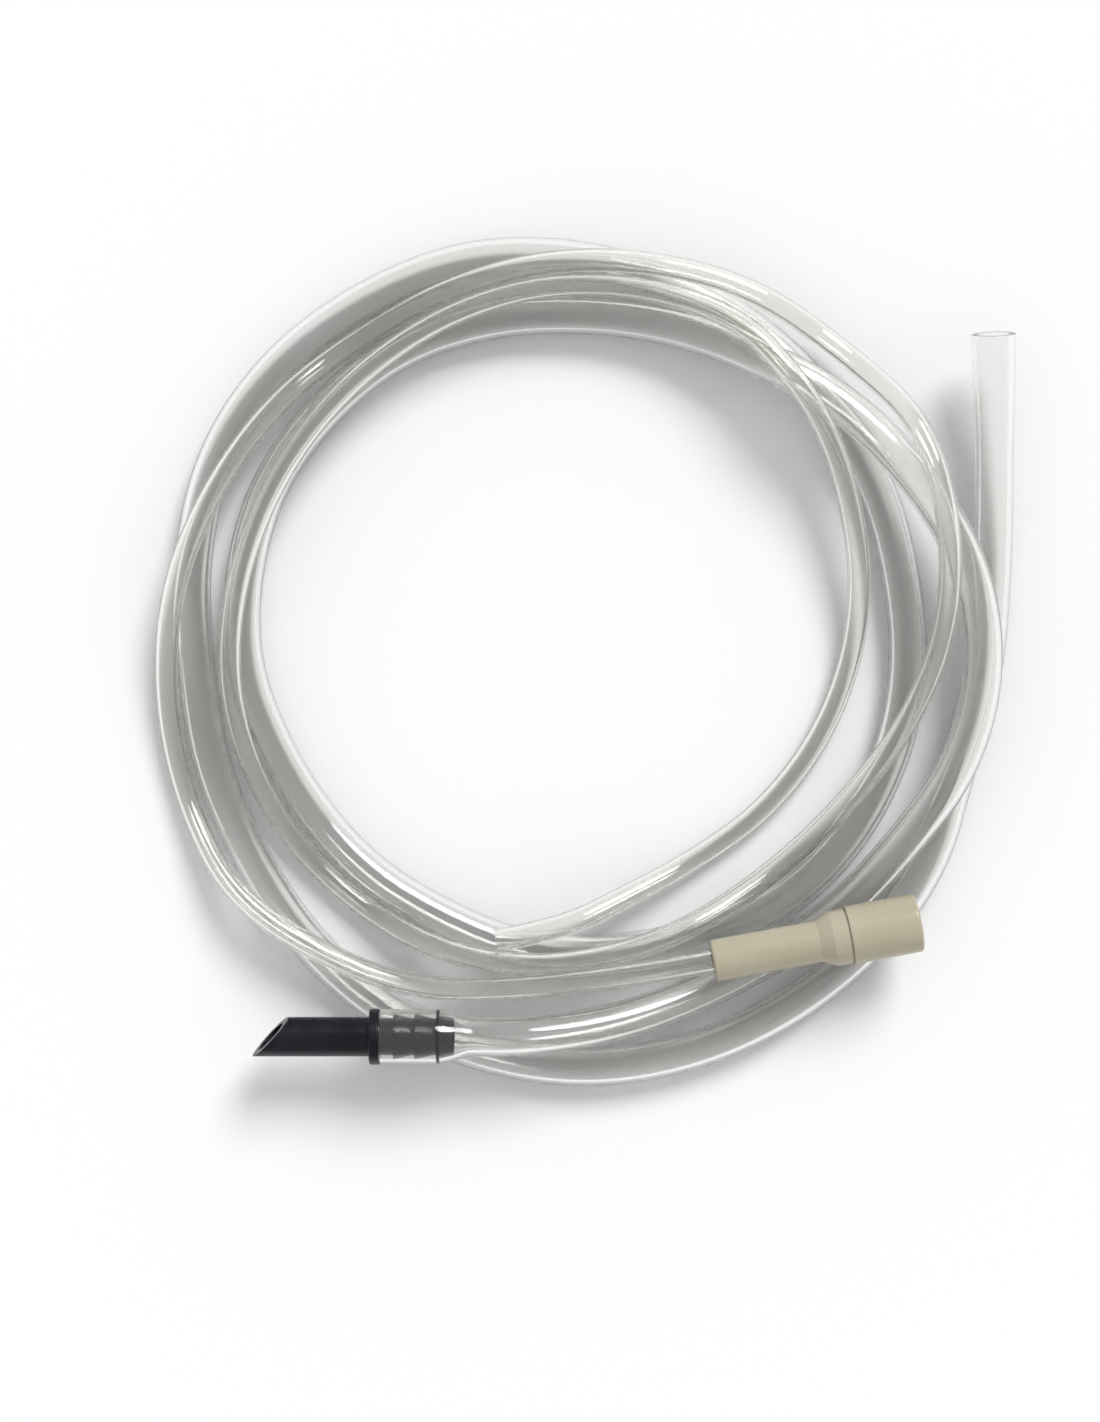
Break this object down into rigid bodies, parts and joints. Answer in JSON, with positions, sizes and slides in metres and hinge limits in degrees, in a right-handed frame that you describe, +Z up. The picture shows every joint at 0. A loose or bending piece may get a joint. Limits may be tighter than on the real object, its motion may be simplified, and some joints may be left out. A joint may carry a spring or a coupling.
{
  "type": "gravel vacuum siphon",
  "caption": "Aquarium gravel siphon: a loose coil of thick and thin clear hose, a slant-cut barbed intake fitting on the thick hose and a stepped reducing sleeve on the thin one.",
  "frame": {"origin": "on the floor, under the middle of the whole object: the centre of the underside of its box", "axes": "+Z up; +X to the right seen from above, opposite to the way the intake fitting points; +Y towards the bare end of the thick hose"},
  "size_m": [0.2227, 0.2214, 0.0257],
  "materials": {
    "siphon_hose": "clear soft PVC, glossy",
    "starter_hose": "clear soft PVC, glossy",
    "fitting": "moulded hard plastic, semi-gloss black",
    "sleeve": "milky soft plastic, satin"
  },
  "bodies": {
    "hoses": {"siphon_hose_coil": "siphon_hose", "siphon_hose_inlet_end": "siphon_hose", "siphon_hose_outlet_end": "siphon_hose", "starter_hose_coil": "starter_hose", "starter_hose_free_end": "starter_hose", "starter_hose_sleeve_end": "starter_hose"},
    "intake_fitting": {"intake_fitting": "fitting"},
    "reducing_sleeve": {"reducing_sleeve": "sleeve"}
  },
  "joints": [
    {"name": "fitting_pull", "type": "slide", "parent": "hoses", "child": "intake_fitting", "axis": [-1, 0, 0], "range_m": [0, 0.02]},
    {"name": "sleeve_pull", "type": "slide", "parent": "hoses", "child": "reducing_sleeve", "axis": [0.9826, 0.1857, 0], "range_m": [0, 0.018]}
  ]
}
